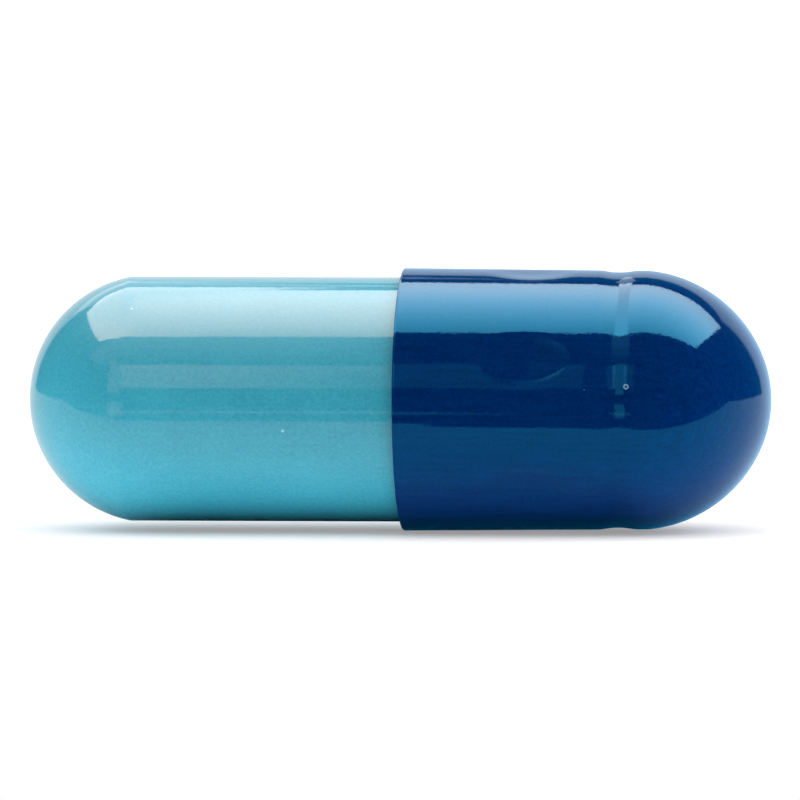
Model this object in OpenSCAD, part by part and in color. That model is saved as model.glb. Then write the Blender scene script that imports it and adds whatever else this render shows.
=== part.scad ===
// A two-piece hard capsule, closed and locked, lying on its side.
// The narrower body points along -X and the wider cap along +X. Sizes are in millimetres.
// Both shells are dip-moulded skins of even thickness, so every groove or dent
// on the outside stands out by as much on the inside.

/* [Closed capsule] */
// Length of the closed capsule from tip to tip
closed_length = 21.7; // [20.5:0.1:23]
// Length of the cap from its tip to its rim
cap_length = 10.72; // [10:0.02:11.4]

/* [Body shell] */
// Outer radius of the body's straight barrel
body_r = 3.565; // [3.3:0.005:3.8]
// Thickness of the body's skin
body_wall = 0.11; // [0.09:0.005:0.13]
// How far the round end would swell past the barrel if it ran on
body_swell = 0.06; // [0.03:0.005:0.12]
// How far the skin has narrowed at the mouth, along its length under the cap
body_taper = 0.03; // [0.01:0.005:0.06]
// Extra lean inwards at the mouth, which lets the cap ride on
mouth_lean = 0.08; // [0.04:0.005:0.12]
// Length of the leaning lip at the mouth
mouth_lip = 0.5; // [0.3:0.05:0.55]
// Depth of the groove that the cap's locking ring sits over
groove_depth = 0.06; // [0.03:0.005:0.09]
// How much wider than the ring the groove is
groove_spare = 0.1; // [0.05:0.01:0.16]

/* [Air vents] */
// Number of shallow flutes that let air out at the mouth
vent_count = 4; // [2:1:6]
// Depth of a flute
vent_depth = 0.05; // [0.03:0.005:0.08]
// Radius of a flute's hollow
vent_r = 1.2; // [0.8:0.05:1.6]
// Length of a flute back from the mouth
vent_length = 2; // [1.6:0.05:2.1]

/* [Cap shell] */
// Thickness of the cap's skin
cap_wall = 0.12; // [0.1:0.005:0.14]
// Gap between the body and the cap at the cap's rim
rim_gap = 0.14; // [0.12:0.005:0.18]
// Gap between the body and the cap where the cap's dome begins
dome_gap = 0.082; // [0.07:0.002:0.11]
// How far the dome would swell past the wall if it ran on
dome_swell = 0.018; // [0.01:0.002:0.03]
// How much longer than a half ball the dome is
dome_stretch = 0.165; // [0.12:0.005:0.25]
// How much tighter than the dome's own radius its nose is
nose_tighten = 0.295; // [0.24:0.005:0.36]
// How far the body's mouth reaches into the dome when locked
mouth_reach = 0.69; // [0.5:0.01:0.8]

/* [Locking ring] */
// Distance from the dome's base to the middle of the ring
ring_behind_dome = 0.5; // [0.5:0.01:0.6]
// Width of the ring's flat floor
ring_floor = 0.38; // [0.3:0.01:0.4]
// Length of each slope beside the floor
ring_slope = 0.3; // [0.2:0.01:0.3]
// Gap between the ring's crest and the barrel that passes it
ring_clear = 0.035; // [0.02:0.005:0.05]

/* [Locking dimples] */
// Number of dimples around the cap
dimple_count = 6; // [4:1:6]
// Distance from the dome's base to the middle of the dimples
dimple_behind_dome = 2.95; // [2.5:0.05:4]
// Radius of the ball whose dent a dimple is
dimple_ball_r = 8; // [6:0.25:10]
// Gap between a dimple's crest and the barrel that passes it
dimple_clear = 0.025; // [0.02:0.005:0.04]
// Height of the first dimple above the level of the axis, in degrees
dimple_turn = 22; // [0:1:59]

/* [Powder fill] */
// Gap between the fill and the body's skin
fill_gap = 0.06; // [0.05:0.005:0.09]
// Distance from the start of the vents down to the fill's top
fill_below_vents = 0.24; // [0.1:0.01:0.5]
// Bevel around the fill's top edge
fill_bevel = 0.16; // [0.05:0.01:0.3]
// Depth of the shallow dish that tamping leaves in the top
tamp_depth = 0.12; // [0.05:0.01:0.25]
// Radius of that dish
tamp_r = 2.6; // [2:0.05:3]

/* [Hidden] */
$fn = 96;
// How far a cutter runs past the face that it opens
overrun = 1;
// How far a wall starts inside its dome, so that they fuse
join = 0.1;
// Spare radius on the cap's nose, so that its arc crosses the flank's and doesn't only touch it
nose_spare = 0.004;
// Turn of the pieces about their axis, in degrees, so that no seam lies on the table
seam_turn = 3;

// Outer radii of the cap, which rides over the body
shoulder_r = body_r + dome_gap + cap_wall;
rim_r = body_r + rim_gap + cap_wall;

// The cap's dome is two arcs that meet without a corner: a nose on the axis and a flatter flank
dome_r = shoulder_r + dome_swell;
dome_length = dome_r + dome_stretch;
nose_r = dome_r - nose_tighten;
nose_to_base = dome_length - nose_r;
flank_r = (pow(nose_to_base, 2) + pow(dome_r, 2) - pow(nose_r, 2)) / (2 * nose_tighten);
meet_share = nose_to_base / (flank_r - nose_r);

// Places along the closed capsule, measured from the body's tip
rim_at = closed_length - cap_length;
mouth_at = closed_length - dome_length + mouth_reach;
ring_at = closed_length - dome_length - ring_behind_dome;
lip_at = mouth_at - mouth_lip;
vent_at = mouth_at - vent_length;
fill_top = vent_at - fill_below_vents;
body_ball_r = body_r + body_swell;

// Places along the cap, measured from its own tip
cap_ring_at = dome_length + ring_behind_dome;
cap_dimple_at = dome_length + dimple_behind_dome;

// Outer radius of the body's wall under the cap
function body_wall_r(at) = body_r - body_taper * (at - rim_at) / (mouth_at - rim_at);

// Outer radius of the cap's wall, plain of any ring or dimple
function cap_wall_r(at) = shoulder_r
    + (rim_r - shoulder_r) * (at - dome_length) / (cap_length - dome_length);

// Corner points [radius, place] of a shallow ring cut to floor_r in a wall
function ring_corners(at, floor_width, floor_r, near_r, far_r) = [
    [near_r, at - floor_width / 2 - ring_slope],
    [floor_r, at - floor_width / 2],
    [floor_r, at + floor_width / 2],
    [far_r, at + floor_width / 2 + ring_slope]
];

// Places a piece that was drawn standing on its tip along X, resting on the cap's rim
module lay_down() {
    translate([-closed_length / 2, 0, rim_r]) rotate([0, 90, 0]) rotate([0, 0, seam_turn])
        children();
}

// Half section of the body, filled, with its skin moved in by inset
module body_section(inset, past_mouth) {
    groove_width = ring_floor + groove_spare;
    groove_reach = groove_width / 2 + ring_slope;
    groove_r = body_wall_r(ring_at) - groove_depth;
    mouth_r = body_wall_r(mouth_at) - mouth_lean;
    corners = concat(
        [[0, body_ball_r - join], [body_r, body_ball_r - join], [body_r, rim_at]],
        ring_corners(ring_at, groove_width, groove_r,
            body_wall_r(ring_at - groove_reach), body_wall_r(ring_at + groove_reach)),
        [[body_wall_r(lip_at), lip_at], [mouth_r, mouth_at], [mouth_r, mouth_at + past_mouth],
            [0, mouth_at + past_mouth]]
    );
    polygon([for (c = corners) [max(c[0] - inset, 0), c[1]]]);
    intersection() {
        translate([0, body_ball_r]) circle(r = body_ball_r - inset);
        square([body_r - inset, body_ball_r]);
    }
}

// Half section of the cap standing on its tip, filled, with its skin moved in by inset
module cap_section(inset, past_rim) {
    ring_r = body_r + ring_clear + cap_wall;
    ring_reach = ring_floor / 2 + ring_slope;
    meet_at = nose_r - (nose_r - inset) * meet_share;
    corners = concat(
        [[0, dome_length - join], [shoulder_r, dome_length - join], [shoulder_r, dome_length]],
        ring_corners(cap_ring_at, ring_floor, ring_r,
            cap_wall_r(cap_ring_at - ring_reach), cap_wall_r(cap_ring_at + ring_reach)),
        [[rim_r, cap_length], [rim_r, cap_length + past_rim], [0, cap_length + past_rim]]
    );
    polygon([for (c = corners) [max(c[0] - inset, 0), c[1]]]);
    intersection() {
        translate([0, nose_r + nose_spare]) circle(r = nose_r + nose_spare - inset);
        square([nose_r, nose_r]);
    }
    intersection() {
        translate([dome_r - flank_r, dome_length]) circle(r = flank_r - inset);
        translate([0, meet_at]) square([shoulder_r - inset, dome_length - meet_at]);
    }
}

// Balls that press the dimples into the cap, grown by extra
module dimple_balls(extra) {
    crest_r = body_r + dimple_clear + cap_wall;
    for (i = [0 : dimple_count - 1])
        rotate([0, 0, 270 - dimple_turn - seam_turn + i * 360 / dimple_count])
            translate([crest_r + dimple_ball_r, 0, cap_dimple_at])
                sphere(r = dimple_ball_r + extra);
}

// Round-ended rods that press the vents into the body's mouth, grown by extra
module vent_rods(extra) {
    crest_r = body_wall_r(mouth_at - vent_length / 2) - vent_depth;
    for (i = [0 : vent_count - 1])
        rotate([0, 0, (i + 0.5) * 360 / vent_count])
            translate([crest_r + vent_r, 0, 0]) {
                translate([0, 0, vent_at + vent_r])
                    cylinder(r = vent_r + extra, h = vent_length - vent_r + overrun);
                translate([0, 0, vent_at + vent_r]) sphere(r = vent_r + extra);
            }
}

// The narrower shell, open at its mouth under the cap
module capsule_body() {
    color([0.27, 0.65, 0.75]) lay_down() difference() {
        union() {
            rotate_extrude() difference() {
                body_section(0, 0);
                body_section(body_wall, overrun);
            }
            intersection() {
                rotate_extrude() body_section(0, 0);
                vent_rods(body_wall);
            }
        }
        vent_rods(0);
    }
}

// The wider shell, which slides off along +X
module capsule_cap() {
    color([0.01, 0.2, 0.42]) lay_down() translate([0, 0, closed_length]) mirror([0, 0, 1])
        difference() {
            union() {
                rotate_extrude() difference() {
                    cap_section(0, 0);
                    cap_section(cap_wall, overrun);
                }
                intersection() {
                    rotate_extrude() cap_section(0, 0);
                    dimple_balls(cap_wall);
                }
            }
            dimple_balls(0);
        }
}

// The tamped powder inside the body
module powder_fill() {
    fill_r = body_r - body_wall - fill_gap;
    fill_ball_r = body_ball_r - body_wall - fill_gap;
    tamp_ball_r = (pow(tamp_r, 2) + pow(tamp_depth, 2)) / (2 * tamp_depth);
    color([0.93, 0.91, 0.86]) lay_down() rotate_extrude() difference() {
        union() {
            polygon([[0, body_ball_r - join], [fill_r, body_ball_r - join],
                [fill_r, fill_top - fill_bevel], [fill_r - fill_bevel, fill_top], [0, fill_top]]);
            intersection() {
                translate([0, body_ball_r]) circle(r = fill_ball_r);
                square([fill_r, body_ball_r]);
            }
        }
        translate([0, fill_top - tamp_depth + tamp_ball_r]) circle(r = tamp_ball_r);
    }
}

capsule_body();
capsule_cap();
powder_fill();
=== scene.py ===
import math

import bpy
from mathutils import Matrix, Vector


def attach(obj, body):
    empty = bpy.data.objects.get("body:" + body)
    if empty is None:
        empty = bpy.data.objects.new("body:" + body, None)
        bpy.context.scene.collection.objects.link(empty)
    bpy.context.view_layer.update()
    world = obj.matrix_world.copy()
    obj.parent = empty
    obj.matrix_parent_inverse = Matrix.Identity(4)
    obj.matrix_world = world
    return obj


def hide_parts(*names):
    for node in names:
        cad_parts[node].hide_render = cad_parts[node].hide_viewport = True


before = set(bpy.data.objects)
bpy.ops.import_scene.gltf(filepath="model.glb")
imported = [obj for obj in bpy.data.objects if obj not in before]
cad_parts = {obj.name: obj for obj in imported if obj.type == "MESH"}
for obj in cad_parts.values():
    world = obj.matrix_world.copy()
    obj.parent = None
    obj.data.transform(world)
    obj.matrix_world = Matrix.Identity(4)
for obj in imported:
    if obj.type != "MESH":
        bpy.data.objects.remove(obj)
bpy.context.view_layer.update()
bpy.context.scene.view_settings.view_transform = "Standard"
mm = 0.001  # drawing sizes below are in millimetres, the scene is in metres


# Helpers

def toLinear(hexText):
    # sRGB hex text to the linear colour that a shader takes
    channels = []
    for i in (0, 2, 4):
        c = int(hexText[i:i + 2], 16) / 255
        channels.append(c / 12.92 if c <= 0.04045 else ((c + 0.055) / 1.055) ** 2.4)
    return (*channels, 1.0)


def addNode(tree, kind, settings=None, *feeds):
    # settings are by name, inputs by name or index, and feeds fill the inputs in order;
    # an input takes a value, a socket, or a node, which stands for its first output
    node = tree.nodes.new(kind)
    for key, value in {**(settings or {}), **dict(enumerate(feeds))}.items():
        if isinstance(value, bpy.types.Node):
            value = value.outputs[0]
        if isinstance(key, str) and key not in node.inputs:
            setattr(node, key, value)
        elif isinstance(value, bpy.types.NodeSocket):
            tree.links.new(value, node.inputs[key])
        else:
            node.inputs[key].default_value = value
    return node


# kinds of node and their settings, by short names
maths = "ShaderNodeMath"
vectors = "ShaderNodeVectorMath"
ranged = "ShaderNodeMapRange"
mixed = "ShaderNodeMix"
noise = "ShaderNodeTexNoise"
parted = "ShaderNodeSeparateXYZ"
joined = "ShaderNodeCombineXYZ"
add, take, times, over = ({"operation": name} for name in ("ADD", "SUBTRACT", "MULTIPLY", "DIVIDE"))
least, most, size, power = ({"operation": name} for name in ("MINIMUM", "MAXIMUM", "ABSOLUTE", "POWER"))
sineOf, cosineOf, timesAdd = ({"operation": name} for name in ("SINE", "COSINE", "MULTIPLY_ADD"))
above, below, apart = ({"operation": name} for name in ("GREATER_THAN", "LESS_THAN", "DISTANCE"))
eased = {"interpolation_type": "SMOOTHSTEP"}


# Camera: a long lens, a little above the level and a little to the cap's side

view = {
    "away": 0.5,  # metres
    "turn": 5.7,  # degrees round to the cap's side
    "above": 4.0,  # degrees above the level
    "roll": -0.22,  # degrees
    "frameWidth": 0.02332,  # metres across the picture at the capsule
    "target": (0.0, 0.0, 0.003805),
    "sensor": 36,  # millimetres
    "clip": (0.05, 10),  # metres
}


def makeCamera():
    turn, height = math.radians(view["turn"]), math.radians(view["above"])
    flat = math.cos(height)
    back = Vector((math.sin(turn) * flat, -math.cos(turn) * flat, math.sin(height)))
    data = bpy.data.cameras.new("camera")
    data.sensor_width = view["sensor"]
    data.sensor_fit = "HORIZONTAL"
    data.lens = view["sensor"] * view["away"] / view["frameWidth"]
    data.clip_start, data.clip_end = view["clip"]
    camera = bpy.data.objects.new("camera", data)
    bpy.context.scene.collection.objects.link(camera)
    camera.location = Vector(view["target"]) + back * view["away"]
    roll = Matrix.Rotation(math.radians(view["roll"]), 4, "Z")
    camera.rotation_euler = (back.to_track_quat("Z", "Y").to_matrix().to_4x4() @ roll).to_euler()
    bpy.context.scene.camera = camera


makeCamera()
print("camera set")


# Studio: softboxes overhead and behind, a panel, two windows and a strip in front, and a white sweep

shine = {
    # what the gloss mirrors: centre and size in metres, and brightness
    "overheadLeft": {"centre": (-0.13475, 0.0635, 0.25), "size": (0.1945, 0.3635), "level": 5.2},
    "overheadRight": {"centre": (0.117, 0.041, 0.25), "size": (0.3095, 0.3185), "level": 5.6},
    "tail": {"centre": (-0.18875, -0.238, 0.25), "size": (0.3225, 0.24), "level": 0.4},
    "behindLeft": {"centre": (-0.182, 0.4, 0.32), "size": (0.26, 0.16), "level": 1.0},
    "front": {"centre": (-0.014, -0.12, 0.0584), "size": (0.025, 0.0505), "level": 1.0},
    "window": {"centre": (-0.060, -0.119, 0.0582), "size": (0.067, 0.070), "level": 0.9},
    "windowLow": {"centre": (-0.057, -0.119, -0.0098), "size": (0.067, 0.028), "level": 0.9},
    "strip": {"centre": (-0.045, -0.12, -0.015), "size": (0.08, 0.004), "level": 0.9},
}
facingDown = ("overheadLeft", "overheadRight", "tail")  # the others face the capsule

grades = {
    # how brightness runs along one axis of a lamp: a hump from its edges to its middle, or a ramp;
    # a corner (a, b, c) is cut off where a of the width and b of the depth come to less than c
    "overheadLeft": {"axis": 1, "ramp": {"To Min": 1.3, "To Max": 0.8},
        "corners": ((0.173, 1, 0.117), (0.364, -1, -0.857))},
    "overheadRight": {"axis": 1, "hump": (0.72, 1.25), "corners": ((-0.14, 1, 0),)},
    "tail": {"axis": 1, "ramp": {"To Max": 1.5}, "corners": ((-1, 0.05, -0.95),)},
    "front": {"axis": 0, "ramp": {"From Min": 0.24, "From Max": 0.6, "To Min": 1.4, "To Max": 0.35},
        "corners": ()},
}

plain = {
    # brightness of the plain light, by where it comes from
    "frontLow": 0.2, "frontHigh": 2.25, "backLow": 0.9, "backHigh": 1.55,
    # how it changes from back to front, from low to high, and to the right
    "front": {"From Min": 0.3, "From Max": -0.3},
    "high": {"From Min": 0.4, "From Max": 0.9},
    "right": {"From Min": 0.3, "From Max": 0.9, "To Max": 0.9},
}

sweep = {
    # where the white behind the capsule ends: sine of its height, tangent of its angle to each side
    "top": {"From Min": 0.53, "From Max": 0.58, "To Min": 1, "To Max": 0},
    "side": {"From Min": 0.78, "From Max": 0.98, "To Min": 1, "To Max": 0},
    "dark": 0.015,  # what the gloss sees of the dark room in front
}

table = {
    # the paper's colour, the darker colour of the painted shadow that reflections see under the capsule, and
    # roughness
    "paper": "DCDCDC", "paintedShadow": "4A4A4A", "roughness": 0.9,
    "white": 0.3,  # what lifts it to white for the camera
    "edge": ((-0.4, -0.0148), (0.0, -0.0148), (0.0005, -0.0128), (0.012, -0.0108), (0.4, -0.0108)),
    "reach": 0.4,  # metres to the back
    # light that it throws up: in front of the capsule, not right under it, beyond its ends, not behind
    "near": {"From Min": -0.009, "From Max": -0.006, "To Max": 0.97},
    "clear": {"From Min": -0.004, "From Max": -0.0015, "To Min": 1, "To Max": 0},
    "ends": {"From Min": 0.006, "From Max": 0.012, "To Max": 0.8},
    "back": {"From Min": 0.003, "From Max": 0.008, "To Min": 1, "To Max": 0},
    # painted shadow: where the gloss sees it darker, close under the capsule and between its ends, the
    # paper's colour is darkened in place of the capsule's shade
    "under": {"From Min": 0.004, "From Max": 0.0012},
    "between": {"From Min": 0.0095, "From Max": 0.0055},
}


def gradeLamp(data, grade):
    # a real softbox is uneven, and its outline isn't square to the capsule
    data.use_nodes = True
    tree = data.node_tree
    place = addNode(tree, "ShaderNodeNewGeometry").outputs["Parametric"]
    share = addNode(tree, parted, None, place).outputs[grade["axis"]]
    if "hump" in grade:
        edge, middle = grade["hump"]
        hump = addNode(tree, maths, sineOf, addNode(tree, maths, times, share, math.pi))
        strength = addNode(tree, maths, timesAdd, hump, middle - edge, edge)
    else:
        strength = addNode(tree, ranged, {**eased, "Value": share, **grade["ramp"]})
    for wide, deep, limit in grade["corners"]:
        reach = addNode(tree, vectors, {"operation": "DOT_PRODUCT"}, place, (wide, deep, 0))
        kept = addNode(tree, maths, above, reach.outputs["Value"], limit)
        strength = addNode(tree, maths, times, strength, kept)
    tree.links.new(strength.outputs[0], tree.nodes["Emission"].inputs["Strength"])


def makeLamps():
    # these are for the shine alone, the plain light comes from the world
    for name, lamp in shine.items():
        data = bpy.data.lights.new(name, "AREA")
        data.shape = "RECTANGLE"
        data.size, data.size_y = lamp["size"]
        data.energy = lamp["level"] * math.pi * lamp["size"][0] * lamp["size"][1]
        if name in grades:
            gradeLamp(data, grades[name])
        obj = bpy.data.objects.new(name, data)
        bpy.context.scene.collection.objects.link(obj)
        obj.location = lamp["centre"]
        if name not in facingDown:
            aim = Vector(view["target"]) - Vector(lamp["centre"])
            obj.rotation_euler = aim.to_track_quat("-Z", "Y").to_euler()
        obj.visible_camera = False
        obj.visible_diffuse = False


def makeWorld():
    world = bpy.data.worlds.new("studio")
    bpy.context.scene.world = world
    world.use_nodes = True
    tree = world.node_tree
    tree.nodes.clear()
    x, y, z = addNode(tree, parted, None, addNode(tree, "ShaderNodeTexCoord")).outputs
    rays = addNode(tree, "ShaderNodeLightPath").outputs

    # the white sweep behind, in the shine
    low = addNode(tree, ranged, {**eased, "Value": z, **sweep["top"]})
    backward = addNode(tree, maths, most, y, 0.001)  # never divides by zero
    aside = addNode(tree, maths, over, addNode(tree, maths, size, x), backward)
    behind = addNode(tree, ranged, {**eased, "Value": aside, **sweep["side"]})
    white = addNode(tree, maths, most, addNode(tree, maths, times, low, behind), sweep["dark"])
    shiny = addNode(tree, maths, most, rays["Is Glossy Ray"], rays["Is Transmission Ray"])
    shown = addNode(tree, maths, times, white, shiny)

    # the plain light
    front = addNode(tree, ranged, {**eased, "Value": y, **plain["front"]})
    high = addNode(tree, ranged, {**eased, "Value": z, **plain["high"]})
    lower = addNode(tree, mixed, {0: front, 2: plain["backLow"], 3: plain["frontLow"]})
    upper = addNode(tree, mixed, {0: front, 2: plain["backHigh"], 3: plain["frontHigh"]})
    right = addNode(tree, ranged, {**eased, "Value": x, **plain["right"]})
    level = addNode(tree, maths, add, addNode(tree, mixed, {0: high, 2: lower, 3: upper}), right)
    soft = addNode(tree, maths, times, level, rays["Is Diffuse Ray"])

    strength = addNode(tree, maths, add, addNode(tree, maths, add, shown, soft), rays["Is Camera Ray"])
    light = addNode(tree, "ShaderNodeBackground", {"Color": (1, 1, 1, 1), "Strength": strength})
    addNode(tree, "ShaderNodeOutputWorld", {"Surface": light})


def makeFloor():
    mesh = bpy.data.meshes.new("floor")
    corners = [(x, y, 0) for x, y in table["edge"]]
    corners += [(corners[-1][0], table["reach"], 0), (corners[0][0], table["reach"], 0)]
    mesh.from_pydata(corners, [], [tuple(range(len(corners)))])
    floor = bpy.data.objects.new("floor", mesh)
    bpy.context.scene.collection.objects.link(floor)

    # matt white paper throws light up into the capsule's underside, most from in front of it
    material = bpy.data.materials.new("matt white table paper")
    material.use_nodes = True
    tree = material.node_tree
    rays = addNode(tree, "ShaderNodeLightPath").outputs
    place = addNode(tree, "ShaderNodeTexCoord").outputs["Object"]
    x, y, _ = addNode(tree, parted, None, place).outputs
    aside, ahead = (addNode(tree, maths, size, way) for way in (x, y))
    near = addNode(tree, ranged, {**eased, "Value": y, **table["near"]})
    clear = addNode(tree, ranged, {**eased, "Value": y, **table["clear"]})
    ends = addNode(tree, ranged, {**eased, "Value": aside, **table["ends"]})
    back = addNode(tree, ranged, {**eased, "Value": y, **table["back"]})
    glow = addNode(tree, maths, add, addNode(tree, maths, times, near, clear), ends)
    thrown = addNode(tree, maths, times, addNode(tree, maths, times, glow, back), rays["Is Diffuse Ray"])
    lift = addNode(tree, maths, times, rays["Is Camera Ray"], table["white"])

    # painted shadow: reflections see the paper darker close under the capsule and between its ends, a
    # painted stand-in for its shade
    under = addNode(tree, ranged, {**eased, "Value": ahead, **table["under"]})
    between = addNode(tree, ranged, {**eased, "Value": aside, **table["between"]})
    paintedShadowMask = addNode(tree, maths, times, addNode(tree, maths, times, under, between), rays["Is Glossy Ray"])
    colour = addNode(tree, mixed, {"data_type": "RGBA", 0: paintedShadowMask, 6: toLinear(table["paper"]),
        7: toLinear(table["paintedShadow"])})
    surface = tree.nodes["Principled BSDF"].inputs
    tree.links.new(colour.outputs[2], surface["Base Color"])
    surface["Roughness"].default_value = table["roughness"]
    surface["Specular IOR Level"].default_value = 0
    surface["Emission Color"].default_value = (1, 1, 1, 1)
    tree.links.new(addNode(tree, maths, add, thrown, lift).outputs[0], surface["Emission Strength"])
    mesh.materials.append(material)


makeLamps()
makeWorld()
makeFloor()
print("studio set")


# Half sections: a dense outer line from the tip, softened corners, and an even skin inside it

bodyShell = {
    "length": 21.7, "barrelR": 3.565, "skin": 0.11, "ballR": 3.625, "rimAt": 10.98, "mouthAt": 18.44,
    "taper": 0.03, "lean": 0.08, "lip": 0.5,
    "ringAt": 17.25, "grooveWidth": 0.48, "slope": 0.3, "grooveDepth": 0.06,
    "ventCount": 4, "ventTurn": 48, "ventDepth": 0.05, "ventPlace": 18.55, "ventStraight": 1.75,
    "ventFade": 0.4, "ventWidth": 0.36,
    "waveHeight": 0.008, "waveSize": 3.0, "waveSeed": 2.0,
    # radius of the cut edge, then how finely the skin is drawn: dense is from, to, and its own gap
    "edge": 0.035, "softenedBy": 2, "turn": 1.6, "gap": 0.3, "dense": (15.5, 19, 0.12), "stepsAround": 224,
}

capShell = {
    "length": 21.7, "capLength": 10.72, "skin": 0.12, "shoulderR": 3.767, "rimR": 3.825, "domeR": 3.785,
    "domeLength": 3.95, "noseR": 3.49, "flankR": 3.9962,
    "ringAt": 4.45, "ringFloor": 0.38, "slope": 0.3, "ringR": 3.72,
    "dimpleCount": 6, "dimpleTurn": 22, "dimplePlace": 6.9, "dimpleDepth": 0.084,
    "dimpleLength": 1.36, "dimpleWidth": 0.84,
    "waveHeight": 0.010, "waveSize": 2.6, "waveSeed": 5.0,
    "edge": 0.035, "softenedBy": 5, "turn": 1.6, "gap": 0.13, "dense": None, "stepsAround": 224,
}

lineStep = 0.02  # between the points of a line before it is softened
edgeSteps = 6  # on each rounded corner of a cut edge


def arcPoints(centreAt, centreR, radius, start, end, step=lineStep):
    # points (at, r) on an arc, its angles measured from the side of the tip
    count = max(2, int(abs(end - start) * radius / step))
    angles = [start + (end - start) * i / count for i in range(count + 1)]
    return [(centreAt - radius * math.cos(a), centreR + radius * math.sin(a)) for a in angles]


def straightPoints(corners, step=lineStep):
    points = []
    for (a0, r0), (a1, r1) in zip(corners, corners[1:]):
        count = max(1, int(math.hypot(a1 - a0, r1 - r0) / step))
        points += [(a0 + (a1 - a0) * i / count, r0 + (r1 - r0) * i / count) for i in range(1, count + 1)]
    return points


def soften(points, reach, passes=2):
    # a running mean along the line, which rounds its corners over about twice the reach
    for _ in range(passes):
        head = [(at, -r) for at, r in points[reach:0:-1]]
        (a0, r0), (a1, r1) = points[-2], points[-1]
        tail = [(a1 + (a1 - a0) * i, r1 + (r1 - r0) * i) for i in range(1, reach + 1)]
        line = head + points + tail
        width = 2 * reach + 1
        runs = [line[i:i + width] for i in range(len(points))]
        points = [tuple(sum(p[axis] for p in run) / width for axis in (0, 1)) for run in runs]
        points[0] = (points[0][0], 0.0)
    return points


def normals(points):
    # unit directions away from the axis, one for each point
    result = []
    for i in range(len(points)):
        a = points[max(i - 1, 0)]
        b = points[min(i + 1, len(points) - 1)]
        da, dr = b[0] - a[0], b[1] - a[1]
        length = math.hypot(da, dr)
        result.append((-dr / length, da / length))
    result[0] = (-1.0, 0.0)
    return result


def thin(points, directions, shell):
    # keeps the points where the line has turned enough or run far enough
    dense, turn = shell["dense"], math.radians(shell["turn"])
    kept = [0]
    for i in range(1, len(points) - 1):
        last = kept[-1]
        away = math.dist(points[i], points[last])
        dot = sum(p * q for p, q in zip(directions[i], directions[last]))
        limit = dense[2] if dense and dense[0] < points[i][0] < dense[1] else shell["gap"]
        if away >= limit or math.acos(max(-1, min(1, dot))) >= turn:
            kept.append(i)
    return kept + [len(points) - 1]


def skinSection(points, shell):
    # the closed half section: outer line, rounded edge, inner line back to the axis
    skin, edge = shell["skin"], shell["edge"]
    directions = normals(points)
    cut = max(i for i in range(len(points)) if math.dist(points[i], points[-1]) > edge)
    kept = [i for i in thin(points, directions, shell) if i <= cut]
    outer = [points[i] for i in kept]
    inner = [(points[i][0] - skin * directions[i][0], points[i][1] - skin * directions[i][1]) for i in kept]
    inner[0] = (inner[0][0], 0.0)
    out = directions[-1]
    along = (out[1], -out[0])
    end = points[-1]
    rim = []
    for start, depth in ((90, edge), (0, skin - edge)):  # the outer and the inner corner of the cut edge
        centre = (end[0] - out[0] * depth - along[0] * edge, end[1] - out[1] * depth - along[1] * edge)
        for i in range(edgeSteps + 1):
            a = math.radians(start - 90 * i / edgeSteps)
            rim.append((centre[0] + edge * (out[0] * math.sin(a) + along[0] * math.cos(a)),
                centre[1] + edge * (out[1] * math.sin(a) + along[1] * math.cos(a))))
    return outer + rim + inner[::-1]


def bodySection():
    shell = bodyShell
    rim, ring, mouth = shell["rimAt"], shell["ringAt"], shell["mouthAt"]
    line = arcPoints(shell["ballR"], 0, shell["ballR"], 0, math.asin(shell["barrelR"] / shell["ballR"]))

    def wall(at):
        return shell["barrelR"] - shell["taper"] * (at - rim) / (mouth - rim)

    half = shell["grooveWidth"] / 2
    reach = half + shell["slope"]
    groove = wall(ring) - shell["grooveDepth"]
    lip = mouth - shell["lip"]
    corners = [line[-1], (rim, shell["barrelR"]), (ring - reach, wall(ring - reach)),
        (ring - half, groove), (ring + half, groove), (ring + reach, wall(ring + reach)),
        (lip, wall(lip)), (mouth, wall(mouth) - shell["lean"])]
    line = soften(line + straightPoints(corners), shell["softenedBy"])
    return [(at - shell["length"] / 2, r) for at, r in skinSection(line, shell)]


def capSection():
    # drawn from the cap's own tip, then turned round
    shell = capShell
    ring, end = shell["ringAt"], shell["capLength"]
    flankAt, flankCentre = shell["domeLength"], shell["domeR"] - shell["flankR"]
    meet = math.atan2(-flankCentre, flankAt - shell["noseR"])
    line = arcPoints(shell["noseR"], 0, shell["noseR"], 0, meet)
    shoulder = math.asin((shell["shoulderR"] - flankCentre) / shell["flankR"])
    line += arcPoints(flankAt, flankCentre, shell["flankR"], meet, shoulder)[1:]

    def wall(at):
        return shell["shoulderR"] + (shell["rimR"] - shell["shoulderR"]) * (at - flankAt) / (end - flankAt)

    half = shell["ringFloor"] / 2
    reach = half + shell["slope"]
    corners = [line[-1], (ring - reach, wall(ring - reach)), (ring - half, shell["ringR"]),
        (ring + half, shell["ringR"]), (ring + reach, wall(ring + reach)), (end, shell["rimR"])]
    line = soften(line + straightPoints(corners), shell["softenedBy"])
    line[-1] = (end, shell["rimR"])
    return [(shell["length"] / 2 - at, r) for at, r in skinSection(line, shell)]


# Geometry Nodes: spins a half section about the X axis and presses soft dents into the skin

dents = {
    "roundness": 1.7,  # how bowl-shaped a dent is
    "quietNearAxis": 2.0,  # radius in millimetres within which the waves die away
    "mergeWithin": 2e-7,  # metres
    "onAxis": 1e-8,  # metres
}


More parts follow.
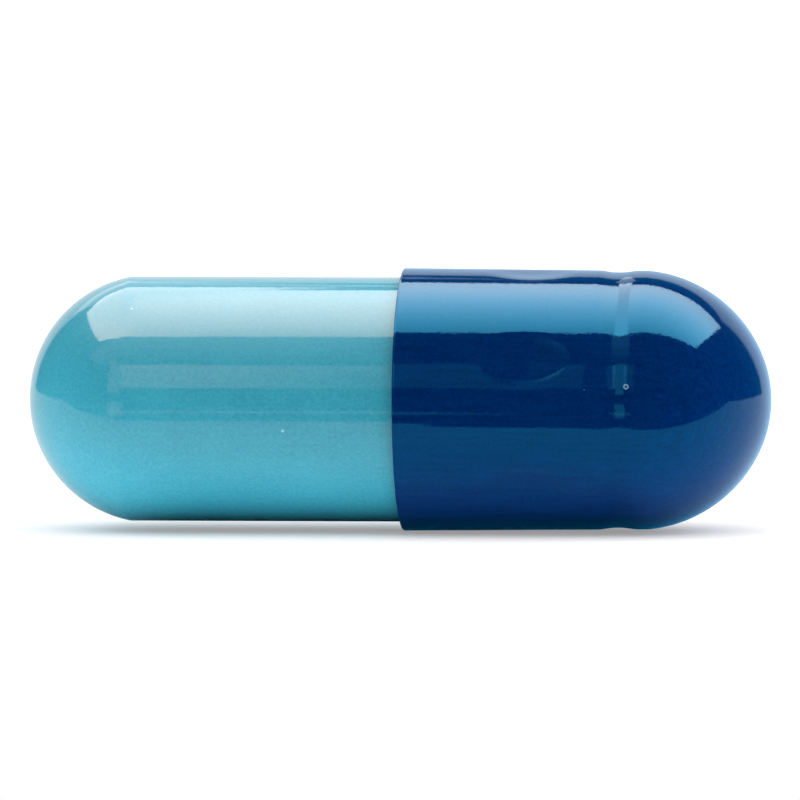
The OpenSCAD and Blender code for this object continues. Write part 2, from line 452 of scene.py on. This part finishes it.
def shellTree():
    tree = bpy.data.node_groups.new("spinShell", "GeometryNodeTree")
    face = tree.interface
    face.new_socket("Geometry", in_out="OUTPUT", socket_type="NodeSocketGeometry")
    face.new_socket("Section", in_out="INPUT", socket_type="NodeSocketGeometry")
    face.new_socket("Steps Around", in_out="INPUT", socket_type="NodeSocketInt")
    for name in ("Dent Count", "Dent Turn", "Dent Place", "Dent Straight", "Dent Length", "Dent Width",
            "Dent Depth", "Wave Height", "Wave Size", "Wave Seed"):
        face.new_socket(name, in_out="INPUT", socket_type="NodeSocketFloat")
    face.new_socket("Flip", in_out="INPUT", socket_type="NodeSocketBool")
    face.new_socket("Finish", in_out="INPUT", socket_type="NodeSocketMaterial")
    given = addNode(tree, "NodeGroupInput").outputs

    # a grid with one row for each point of the section; the quarter keeps a share from rounding down
    points = addNode(tree, "GeometryNodeAttributeDomainSize", None, given["Section"]).outputs["Point Count"]
    across = addNode(tree, maths, add, given["Steps Around"], 1)
    grid = addNode(tree, "GeometryNodeMeshGrid", {"Vertices X": points, "Vertices Y": across})
    index = addNode(tree, "GeometryNodeInputIndex")
    share = addNode(tree, maths, over, addNode(tree, maths, add, index, 0.25), across)
    row = addNode(tree, maths, {"operation": "FLOOR"}, share)
    column = addNode(tree, maths, take, index, addNode(tree, maths, times, row, across))
    sample = addNode(tree, "GeometryNodeSampleIndex", {"data_type": "FLOAT_VECTOR", "domain": "POINT",
        "Geometry": given["Section"], "Value": addNode(tree, "GeometryNodeInputPosition"), "Index": row})
    along, radius, _ = addNode(tree, parted, None, sample).outputs
    turned = addNode(tree, maths, over, column, given["Steps Around"])
    angle = addNode(tree, maths, times, turned, 2 * math.pi)
    cosine = addNode(tree, maths, cosineOf, angle)
    sine = addNode(tree, maths, sineOf, angle)

    # how far a point is from the middle of the nearest dent, as a share of the dent's size
    half = addNode(tree, maths, over, math.pi, given["Dent Count"])
    fromFirst = addNode(tree, maths, take, angle, given["Dent Turn"])
    minusHalf = addNode(tree, maths, times, half, -1)
    local = addNode(tree, maths, {"operation": "WRAP"}, fromFirst, half, minusHalf)
    sideways = addNode(tree, maths, over, addNode(tree, maths, times, local, radius), given["Dent Width"])
    reach = addNode(tree, maths, size, addNode(tree, maths, take, along, given["Dent Place"]))
    past = addNode(tree, maths, most, addNode(tree, maths, take, reach, given["Dent Straight"]), 0)
    lengthways = addNode(tree, maths, over, past, given["Dent Length"])
    away = addNode(tree, maths, add, addNode(tree, maths, times, sideways, sideways),
        addNode(tree, maths, times, lengthways, lengthways))
    left = addNode(tree, maths, most, addNode(tree, maths, take, 1, away), 0)
    bowl = addNode(tree, maths, power, left, dents["roundness"])
    dent = addNode(tree, maths, times, bowl, given["Dent Depth"])

    # gentle waves that dipping and drying leave, at the same place on both faces of the skin
    ball = capShell["shoulderR"] * mm
    waveAt = addNode(tree, joined, None, along, addNode(tree, maths, times, cosine, ball),
        addNode(tree, maths, times, sine, ball))
    waves = addNode(tree, noise, {"noise_dimensions": "4D", "Detail": 1, "Vector": waveAt,
        "W": given["Wave Seed"], "Scale": addNode(tree, maths, over, 1, given["Wave Size"])})
    swing = addNode(tree, maths, times, addNode(tree, maths, take, waves, 0.5), given["Wave Height"])
    fromAxis = addNode(tree, maths, over, radius, dents["quietNearAxis"] * mm)
    wave = addNode(tree, maths, times, swing, addNode(tree, maths, least, fromAxis, 1))

    dented = addNode(tree, maths, add, addNode(tree, maths, take, radius, dent), wave)
    offAxis = addNode(tree, maths, above, radius, dents["onAxis"])
    final = addNode(tree, maths, times, addNode(tree, maths, most, dented, 0), offAxis)
    moved = addNode(tree, joined, None, along, addNode(tree, maths, times, final, cosine),
        addNode(tree, maths, times, final, sine))
    spun = addNode(tree, "GeometryNodeSetPosition", {"Geometry": grid, "Position": moved})
    merged = addNode(tree, "GeometryNodeMergeByDistance", {"Geometry": spun,
        "Distance": dents["mergeWithin"]})
    flipped = addNode(tree, "GeometryNodeFlipFaces", None, merged, given["Flip"])
    raised = addNode(tree, "GeometryNodeTransform", {"Geometry": flipped,
        "Translation": (0, 0, capShell["rimR"] * mm)})
    smooth = addNode(tree, "GeometryNodeSetShadeSmooth", None, raised)
    real = addNode(tree, "GeometryNodeRealizeInstances", None, smooth)
    done = addNode(tree, "GeometryNodeSetMaterial", {"Geometry": real, "Material": given["Finish"]})
    addNode(tree, "NodeGroupOutput", None, done)
    return tree


def makePiece(name, section, tree, inputs, body, node):
    # runs the tree on a half section and keeps the result as a plain mesh
    mesh = bpy.data.meshes.new(name + "Section")
    points = [(at * mm, r * mm, 0) for at, r in section]
    mesh.from_pydata(points, [(i, i + 1) for i in range(len(points) - 1)], [])
    source = bpy.data.objects.new(name + "Section", mesh)
    bpy.context.scene.collection.objects.link(source)
    modifier = source.modifiers.new("spin", "NODES")
    modifier.node_group = tree
    for item in tree.interface.items_tree:
        if item.in_out == "INPUT" and item.name in inputs:
            modifier[item.identifier] = inputs[item.name]
    graph = bpy.context.evaluated_depsgraph_get()
    made = bpy.data.meshes.new_from_object(source.evaluated_get(graph), depsgraph=graph)
    made.name = name
    piece = bpy.data.objects.new(name, made)
    bpy.context.scene.collection.objects.link(piece)
    source.modifiers.clear()
    bpy.data.objects.remove(source)
    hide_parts(node)
    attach(piece, body)
    print(name, "made with", len(made.polygons), "faces")


# Finishes

gelatin = {
    # sizes in millimetres; a streak is squashed along the axis in the noise, so that it runs long
    "cloudSize": 1.6, "grainSize": 0.08, "streakSize": 0.13, "streakSquash": 0.07,
    "grainShare": 0.75,  # the rest is cloud
    "contrast": {"From Min": 0.36, "From Max": 0.64},
    "ior": 1.53,  # dry gelatin
    "roughness": 0.05, "hazeRoughness": 0.4, "glowRoughness": 0.3,
    # a speck's full middle and its outer edge as shares of its radius, and how much it covers
    "speckFull": 0.4, "speckEnd": 1.1, "speckCover": 0.75,
}
bodyFinish = {
    "name": "opaque aqua gelatin", "deep": "339AB2", "pale": "3FA7BD",
    "gloss": 0.45, "tint": (1.0, 0.72, 0.55, 1), "haze": 0.2, "glow": 0.0, "glowTint": (1, 1, 1, 1),
    "bump": 0.0012, "streak": 0.15, "speckColour": "9FD9E6",
    # centre on the skin, radius and thickness of ring (0 is a filled speck), in millimetres
    "specks": (((-7.6, -2.24, 6.6), 0.05, 0), ((-3.07, -3.5, 3.14), 0.055, 0),
        ((0.18, -3.56, 3.74), 0.05, 0)),
}
capFinish = {
    "name": "opaque navy gelatin", "deep": "001F53", "pale": "002C67",
    "gloss": 0.63, "tint": (0.055, 0.66, 1.0, 1), "haze": 0.0, "glow": 1.0, "glowTint": (0.0, 0.45, 1.0, 1),
    "bump": 0.0014, "streak": 0.4, "speckColour": "8FA9BC",
    "specks": (((6.93, -3.7, 4.47), 0.085, 0.05), ((5.72, -3.75, 4.38), 0.025, 0)),
}


def gelatinShell(finish):
    # dip-moulded gelatin, opaque with pigment and polished: an even deep colour, finely mottled and
    # streaked along the pin that it was dipped on, under a clear, sharp gloss
    material = bpy.data.materials.new(finish["name"])
    material.use_nodes = True
    tree = material.node_tree
    place = addNode(tree, "ShaderNodeTexCoord").outputs["Object"]
    cloud, grain = (addNode(tree, noise, {"Scale": 1 / (gelatin[key] * mm), "Detail": 2, "Vector": place})
        for key in ("cloudSize", "grainSize"))
    drawn = addNode(tree, vectors, times, place, (gelatin["streakSquash"], 1, 1))
    streak = addNode(tree, noise, {"Scale": 1 / (gelatin["streakSize"] * mm), "Detail": 2, "Vector": drawn})
    cloudy = addNode(tree, maths, times, cloud, 1 - gelatin["grainShare"])
    mottle = addNode(tree, maths, timesAdd, grain, gelatin["grainShare"], cloudy)
    pattern = addNode(tree, mixed, {0: finish["streak"], 2: mottle, 3: streak})
    share = addNode(tree, ranged, {"Value": pattern, **gelatin["contrast"]})
    colour = addNode(tree, mixed, {"data_type": "RGBA", 0: share, 6: toLinear(finish["deep"]),
        7: toLinear(finish["pale"])}).outputs[2]
    for centre, radius, ring in finish["specks"]:
        middle = tuple(v * mm for v in centre)
        away = addNode(tree, vectors, apart, place, middle).outputs["Value"]
        if ring:
            away = addNode(tree, maths, size, addNode(tree, maths, take, away, (radius - ring / 2) * mm))
            radius = ring / 2
        inside = addNode(tree, ranged, {**eased, "Value": away,
            "From Min": radius * gelatin["speckFull"] * mm, "From Max": radius * gelatin["speckEnd"] * mm,
            "To Min": gelatin["speckCover"], "To Max": 0})
        colour = addNode(tree, mixed, {"data_type": "RGBA", 0: inside, 6: colour,
            7: toLinear(finish["speckColour"])}).outputs[2]
    surface = tree.nodes["Principled BSDF"].inputs
    tree.links.new(colour, surface["Base Color"])
    surface["Roughness"].default_value = gelatin["roughness"]
    surface["IOR"].default_value = gelatin["ior"]
    surface["Specular IOR Level"].default_value = finish["gloss"]
    surface["Specular Tint"].default_value = finish["tint"]
    surface["Coat Weight"].default_value = finish["haze"]
    surface["Coat Roughness"].default_value = gelatin["hazeRoughness"]
    surface["Sheen Weight"].default_value = finish["glow"]
    surface["Sheen Roughness"].default_value = gelatin["glowRoughness"]
    surface["Sheen Tint"].default_value = finish["glowTint"]
    bump = addNode(tree, "ShaderNodeBump", {"Strength": 1, "Distance": finish["bump"] * mm, "Height": grain})
    tree.links.new(bump.outputs[0], surface["Normal"])
    return material


# Shells: the body's dents are its air vents, and the cap's are its locking dimples

spin = shellTree()
body = bodyShell
makePiece("bodySkin", bodySection(), spin, {
    "Steps Around": body["stepsAround"], "Dent Count": body["ventCount"],
    "Dent Turn": math.radians(body["ventTurn"]),
    "Dent Place": (body["ventPlace"] - body["length"] / 2) * mm,
    "Dent Straight": body["ventStraight"] * mm, "Dent Length": body["ventFade"] * mm,
    "Dent Width": body["ventWidth"] * mm, "Dent Depth": body["ventDepth"] * mm,
    "Wave Height": body["waveHeight"] * mm, "Wave Size": body["waveSize"] * mm,
    "Wave Seed": body["waveSeed"], "Flip": False, "Finish": gelatinShell(bodyFinish),
}, "body", "capsule_body")

cap = capShell
makePiece("capSkin", capSection(), spin, {
    "Steps Around": cap["stepsAround"], "Dent Count": cap["dimpleCount"],
    "Dent Turn": math.radians(180 - cap["dimpleTurn"]),
    "Dent Place": (cap["length"] / 2 - cap["dimplePlace"]) * mm,
    "Dent Straight": 0.0, "Dent Length": cap["dimpleLength"] * mm,
    "Dent Width": cap["dimpleWidth"] * mm, "Dent Depth": cap["dimpleDepth"] * mm,
    "Wave Height": cap["waveHeight"] * mm, "Wave Size": cap["waveSize"] * mm,
    "Wave Seed": cap["waveSeed"], "Flip": True, "Finish": gelatinShell(capFinish),
}, "cap", "capsule_cap")


# Powder plug: tamped into the body, with a shallow dish, a grainy top and loose crumbs on it

powderPlug = {
    "ballR": 3.455, "ballCentre": 3.625, "wallR": 3.395, "top": 16.2, "bevel": 0.16,
    "dishR": 2.6, "dishDepth": 0.12, "stepsAround": 176,
    "ballStep": 0.3, "topStep": 0.08,  # between the points of the section
    # the grain presses the top in where its noise is under the start, from so far behind the top
    "grainHeight": 0.05, "grainSize": 0.16, "grainStart": 0.7, "grainReach": 0.3,
    "crumbsPerSquare": 5.0, "crumbFrom": 0.025, "crumbTo": 0.085,
    "crumbsClearOfWall": 0.25, "crumbsFacing": 0.5, "crumbTurn": 6.28, "seed": 4,
    "light": "F2EDE2", "shade": "D6CDBB",
    # the finish: sizes of grain and patches, the grain's share of both, contrast and depth of pores
    "fineGrain": 0.12, "patchSize": 0.9, "fineShare": 0.7,
    "contrast": {"From Min": 0.38, "From Max": 0.6}, "pores": 0.02, "roughness": 0.95, "gloss": 0.2,
}


def plugSection():
    plug = powderPlug
    wall, top, dishR, sag = plug["wallR"], plug["top"], plug["dishR"], plug["dishDepth"]
    ballEnd = math.asin(wall / plug["ballR"])
    line = arcPoints(plug["ballCentre"], 0, plug["ballR"], 0, ballEnd, plug["ballStep"])
    line[0] = (line[0][0], 0.0)
    line.append((top - plug["bevel"], wall))
    line += straightPoints([line[-1], (top, wall - plug["bevel"]), (top, dishR)], plug["topStep"])
    dishBall = (dishR ** 2 + sag ** 2) / (2 * sag)
    rings = int(dishR / plug["topStep"])
    for i in range(rings - 1, -1, -1):
        r = dishR * i / rings
        line.append((top - sag + dishBall - math.sqrt(dishBall ** 2 - r ** 2), r))
    return [(at - bodyShell["length"] / 2, r) for at, r in line]


def plugTree(spin):
    tree = bpy.data.node_groups.new("tampedPlug", "GeometryNodeTree")
    face = tree.interface
    face.new_socket("Geometry", in_out="OUTPUT", socket_type="NodeSocketGeometry")
    face.new_socket("Section", in_out="INPUT", socket_type="NodeSocketGeometry")
    for name, kind in (("Steps Around", "Int"), ("Top", "Float"), ("Grain Height", "Float"),
            ("Grain Size", "Float"), ("Crumb Density", "Float"), ("Crumb From", "Float"),
            ("Crumb To", "Float"), ("Seed", "Int"), ("Finish", "Material")):
        face.new_socket(name, in_out="INPUT", socket_type="NodeSocket" + kind)
    given = addNode(tree, "NodeGroupInput").outputs
    plug = addNode(tree, "GeometryNodeGroup", {"node_tree": spin, "Section": given["Section"],
        "Steps Around": given["Steps Around"],
        **dict.fromkeys(("Dent Count", "Dent Width", "Dent Length", "Wave Size"), 1)})

    # the top is pressed in by a fine noise, so that it never stands past the plug's own size
    place = addNode(tree, "GeometryNodeInputPosition")
    normal = addNode(tree, "GeometryNodeInputNormal")
    onTop = addNode(tree, ranged, {**eased, "Value": addNode(tree, parted, None, place),
        "From Min": addNode(tree, maths, take, given["Top"], powderPlug["grainReach"] * mm),
        "From Max": given["Top"]})
    grain = addNode(tree, noise, {"noise_dimensions": "4D", "Detail": 3, "Vector": place,
        "W": given["Seed"], "Scale": addNode(tree, maths, over, 1, given["Grain Size"])})
    depth = addNode(tree, maths, least, addNode(tree, maths, take, grain, powderPlug["grainStart"]), 0)
    pressed = addNode(tree, maths, times, addNode(tree, maths, times, depth, onTop), given["Grain Height"])
    inward = addNode(tree, vectors, {"operation": "SCALE", "Scale": pressed}, normal)
    grainy = addNode(tree, "GeometryNodeSetPosition", {"Geometry": plug, "Offset": inward})

    # crumbs lie only on the dish, clear of the shell's wall
    _, y, z = addNode(tree, parted, None, place).outputs
    axis = (0, 0, capShell["rimR"] * mm)
    fromAxis = addNode(tree, vectors, apart, addNode(tree, joined, None, 0, y, z), axis).outputs["Value"]
    dishEdge = (powderPlug["wallR"] - powderPlug["crumbsClearOfWall"]) * mm
    inDish = addNode(tree, maths, below, fromAxis, dishEdge)
    facing = addNode(tree, parted, None, normal)
    upright = addNode(tree, maths, above, facing, powderPlug["crumbsFacing"])
    chosen = addNode(tree, maths, times, inDish, upright)
    spots = addNode(tree, "GeometryNodeDistributePointsOnFaces", {"Mesh": grainy, "Selection": chosen,
        "Density": given["Crumb Density"], "Seed": given["Seed"]})
    crumb = addNode(tree, "GeometryNodeMeshIcoSphere", {"Radius": 1, "Subdivisions": 1})
    turn = addNode(tree, "FunctionNodeRandomValue", {"data_type": "FLOAT_VECTOR", 0: (0, 0, 0),
        1: (powderPlug["crumbTurn"],) * 3, "Seed": given["Seed"]})
    spread = addNode(tree, "FunctionNodeRandomValue", {"data_type": "FLOAT_VECTOR", 0: given["Crumb From"],
        1: given["Crumb To"], "Seed": addNode(tree, maths, add, given["Seed"], 1)})
    crumbs = addNode(tree, "GeometryNodeInstanceOnPoints", {"Points": spots, "Instance": crumb,
        "Rotation": turn, "Scale": spread})
    both = addNode(tree, "GeometryNodeJoinGeometry", None, grainy)
    tree.links.new(crumbs.outputs[0], both.inputs[0])
    real = addNode(tree, "GeometryNodeRealizeInstances", None, both)
    done = addNode(tree, "GeometryNodeSetMaterial", {"Geometry": real, "Material": given["Finish"]})
    addNode(tree, "NodeGroupOutput", None, done)
    return tree


def pressedPowder():
    # milled powder, tamped: dull, chalky and slightly uneven, with darker pores between its grains
    plug = powderPlug
    material = bpy.data.materials.new("tamped milled powder")
    material.use_nodes = True
    tree = material.node_tree
    place = addNode(tree, "ShaderNodeTexCoord").outputs["Object"]
    grain = addNode(tree, noise, {"Scale": 1 / (plug["fineGrain"] * mm), "Detail": 4, "Vector": place})
    patch = addNode(tree, noise, {"Scale": 1 / (plug["patchSize"] * mm), "Detail": 2, "Vector": place})
    patchy = addNode(tree, maths, times, patch, 1 - plug["fineShare"])
    both = addNode(tree, maths, timesAdd, grain, plug["fineShare"], patchy)
    share = addNode(tree, ranged, {"Value": both, **plug["contrast"]})
    colour = addNode(tree, mixed, {"data_type": "RGBA", 0: share, 6: toLinear(plug["shade"]),
        7: toLinear(plug["light"])})
    bump = addNode(tree, "ShaderNodeBump", {"Strength": 1, "Distance": plug["pores"] * mm, "Height": grain})
    surface = tree.nodes["Principled BSDF"].inputs
    tree.links.new(colour.outputs[2], surface["Base Color"])
    tree.links.new(bump.outputs[0], surface["Normal"])
    surface["Roughness"].default_value = plug["roughness"]
    surface["Specular IOR Level"].default_value = plug["gloss"]
    return material


plug = powderPlug
makePiece("powderPlug", plugSection(), plugTree(spin), {
    "Steps Around": plug["stepsAround"], "Top": (plug["top"] - bodyShell["length"] / 2) * mm,
    "Grain Height": plug["grainHeight"] * mm, "Grain Size": plug["grainSize"] * mm,
    "Crumb Density": plug["crumbsPerSquare"] / mm ** 2, "Crumb From": plug["crumbFrom"] * mm,
    "Crumb To": plug["crumbTo"] * mm, "Seed": plug["seed"], "Finish": pressedPowder(),
}, "body", "powder_fill")
